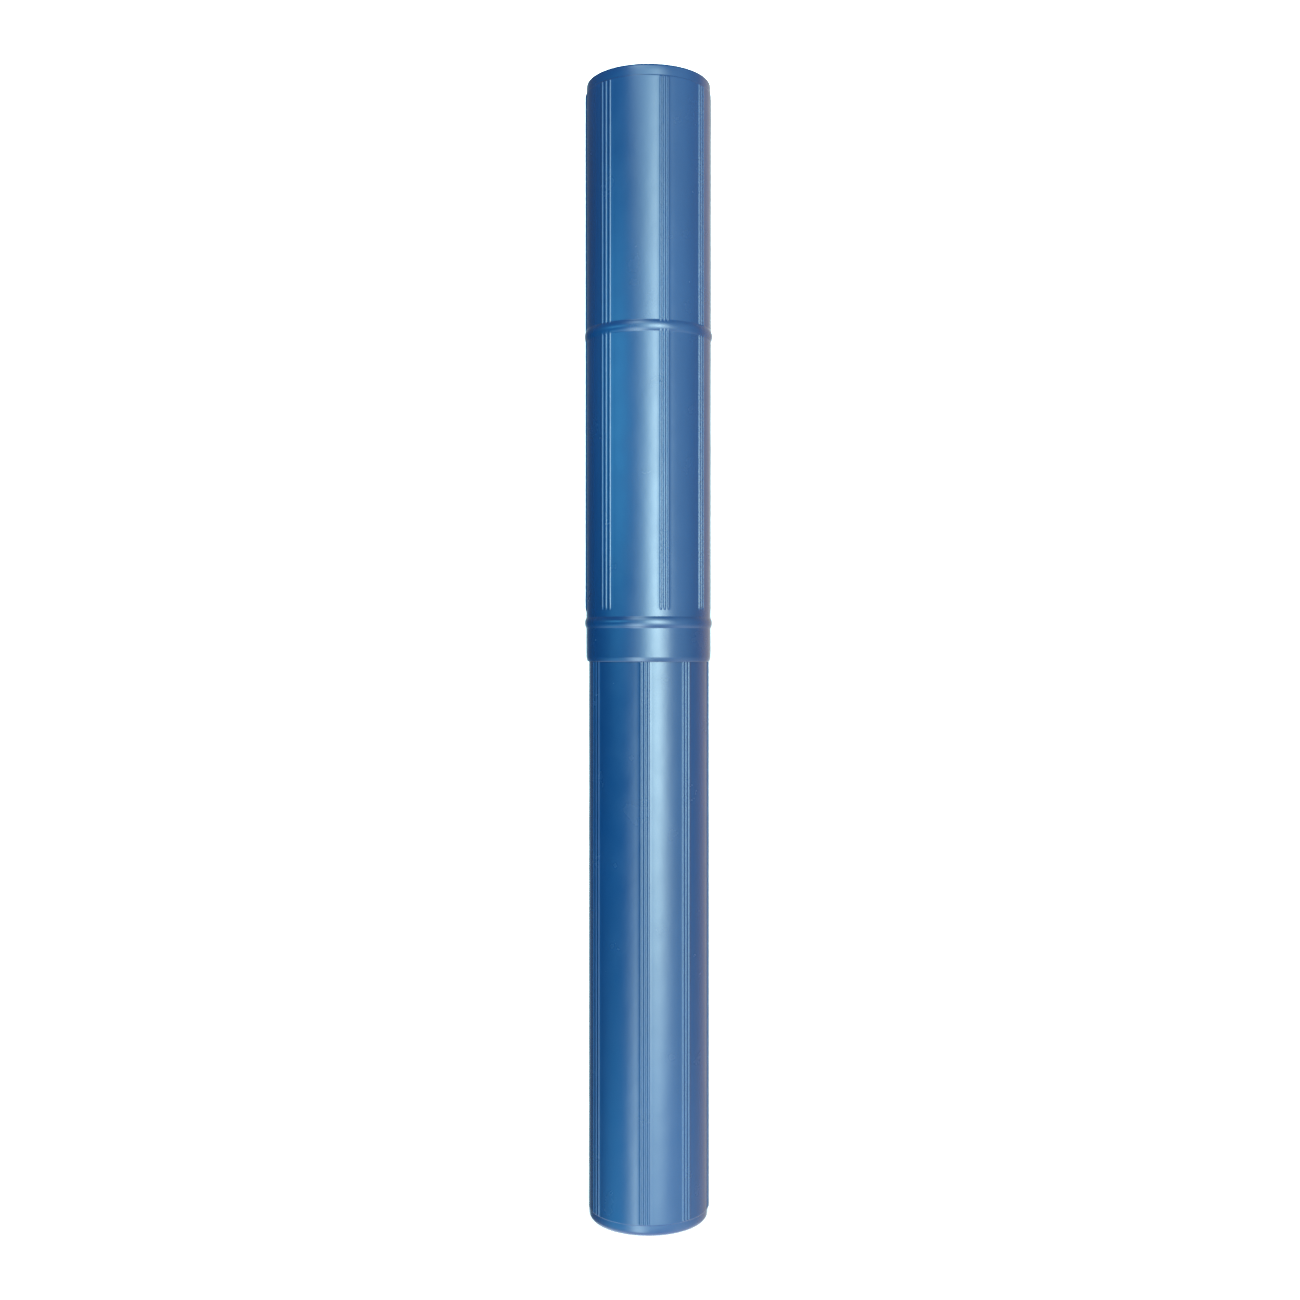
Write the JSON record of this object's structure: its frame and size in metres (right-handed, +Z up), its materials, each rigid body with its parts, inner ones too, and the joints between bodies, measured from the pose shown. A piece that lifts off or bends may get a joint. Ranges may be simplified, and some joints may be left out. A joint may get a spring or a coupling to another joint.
{
  "type": "telescopic poster tube",
  "caption": "Blue blow-moulded telescopic poster tube, drawn out: an outer tube slides over an inner tube, each closed at one end.",
  "frame": {"origin": "centre of the base, on the floor that the tube stands on", "axes": "+Z up along the tube, from the inner tube's closed end to the outer tube's; -Y is the side that the picture shows"},
  "size_m": [0.1074, 0.1074, 0.946],
  "materials": {
    "blue_plastic": "satin"
  },
  "bodies": {
    "inner": {"inner_tube": "blue_plastic"},
    "outer": {"outer_tube": "blue_plastic"}
  },
  "joints": [
    {"name": "outer_tube_slide", "type": "slide", "parent": "inner", "child": "outer", "axis": [0, 0, 1], "range_m": [-0.437, 0.1]}
  ]
}
